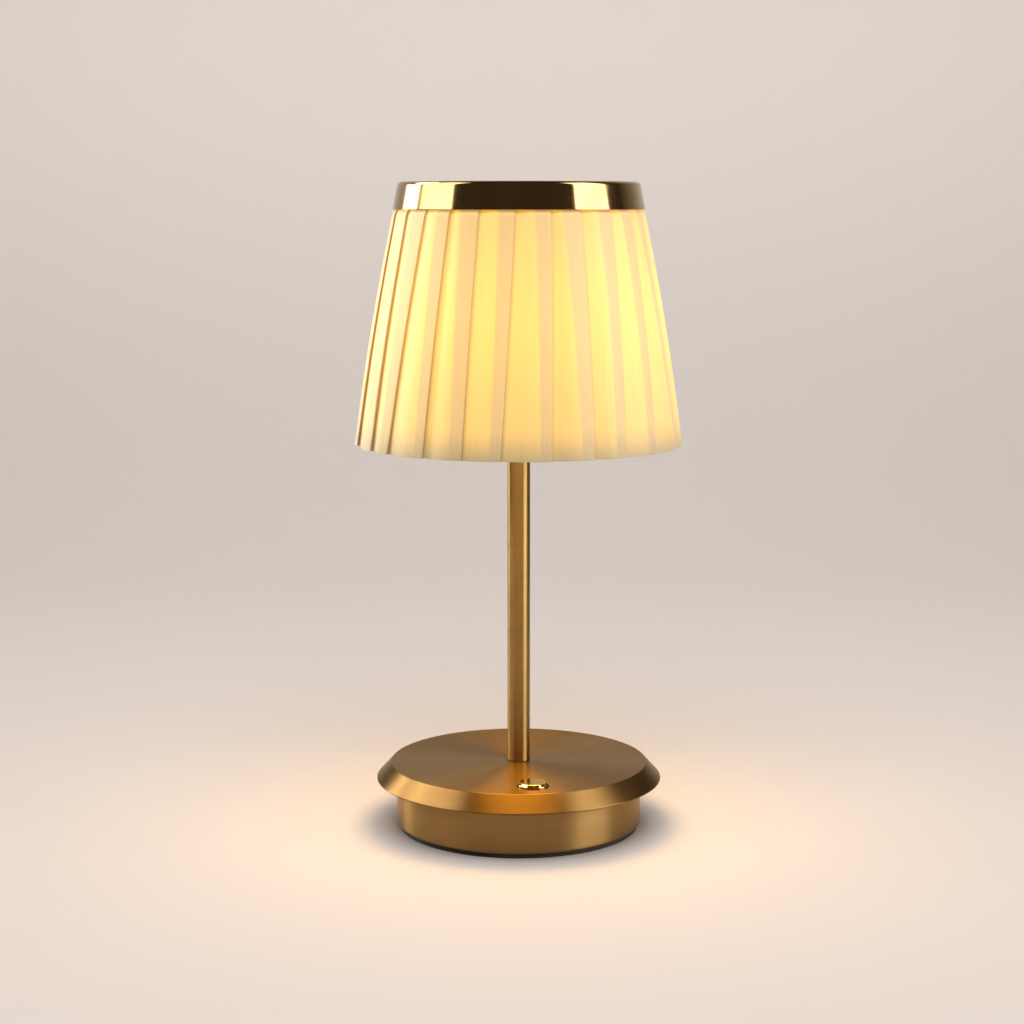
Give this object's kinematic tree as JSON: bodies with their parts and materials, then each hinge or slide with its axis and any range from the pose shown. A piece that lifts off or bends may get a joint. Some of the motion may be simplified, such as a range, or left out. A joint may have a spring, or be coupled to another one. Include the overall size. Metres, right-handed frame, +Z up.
{
  "type": "table lamp",
  "caption": "Cordless table lamp with a round brass base, push button, slim stem, opal LED head and a lift-off pleated fabric shade with a brass band.",
  "frame": {"origin": "centre of the round foot, on the surface the lamp stands on", "axes": "+Z up along the stem, -Y towards the front where the push button is, +Y towards the charging socket"},
  "size_m": [0.1496, 0.1496, 0.3],
  "materials": {
    "black_rubber": "matte",
    "black_plastic": "fine matte",
    "satin_brass": "satin brushed, lacquered",
    "polished_brass": "polished",
    "zinc_steel": "zinc plated",
    "white_wire": "gloss white enamel",
    "nickel": "bright nickel",
    "white_plastic": "moulded",
    "cell_wrap": "shrink sleeve",
    "circuit_green": "solder mask",
    "circuit_white": "white solder mask",
    "led_phosphor": "yellow phosphor",
    "opal_plastic": "opal, lit from inside",
    "ivory_fabric": "fine silky plain weave, translucent",
    "liner_film": "frosted translucent film",
    "red_insulation": "smooth",
    "black_insulation": "smooth"
  },
  "bodies": {
    "lamp": {"foot_pad": "black_rubber", "bottom_cover": "black_plastic", "base_drum": "satin_brass", "base_disc": "satin_brass", "ballast_plate": "zinc_steel", "standoff_1": "zinc_steel", "cover_screw_1": "zinc_steel", "standoff_2": "zinc_steel", "cover_screw_2": "zinc_steel", "standoff_3": "zinc_steel", "cover_screw_3": "zinc_steel", "standoff_4": "zinc_steel", "cover_screw_4": "zinc_steel", "battery_tray": "white_plastic", "battery_cell_1": "cell_wrap", "battery_cell_2": "cell_wrap", "nickel_strip_front": "nickel", "nickel_strip_back": "nickel", "driver_board": "circuit_green", "board_screw_1": "zinc_steel", "board_screw_2": "zinc_steel", "usb_socket": "zinc_steel", "usb_tongue": "black_plastic", "light_pipe": "opal_plastic", "driver_chip": "black_plastic", "power_coil": "black_plastic", "battery_plug": "white_plastic", "tact_switch": "black_plastic", "switch_board": "circuit_green", "button_housing": "white_plastic", "stem_tube": "satin_brass", "stem_nipple": "zinc_steel", "stem_washer": "zinc_steel", "stem_nut": "zinc_steel", "lead_positive": "red_insulation", "lead_negative": "black_insulation", "head_cup": "satin_brass", "led_board": "circuit_white", "led_chip_1": "led_phosphor", "led_chip_2": "led_phosphor", "led_chip_3": "led_phosphor", "led_chip_4": "led_phosphor", "led_chip_5": "led_phosphor", "led_chip_6": "led_phosphor", "diffuser_dome": "opal_plastic"},
    "shade": {"fitter_ring": "white_wire", "spoke_1": "white_wire", "spoke_2": "white_wire", "spoke_3": "white_wire", "top_wire": "white_wire", "bottom_wire": "white_wire", "top_band": "polished_brass", "pleated_cloth": "ivory_fabric", "shade_liner": "liner_film", "bottom_trim": "ivory_fabric"},
    "button": {"button_cap": "polished_brass", "switch_plunger": "black_plastic"}
  },
  "joints": [
    {"name": "shade_lift", "type": "slide", "parent": "lamp", "child": "shade", "axis": [0, 0, 1], "range_m": [0, 0.12]},
    {"name": "button_press", "type": "slide", "parent": "lamp", "child": "button", "axis": [0, 0, -1], "range_m": [0, 0.0008], "stiffness_N_per_m": 1500, "springref_m": -0.0004}
  ]
}
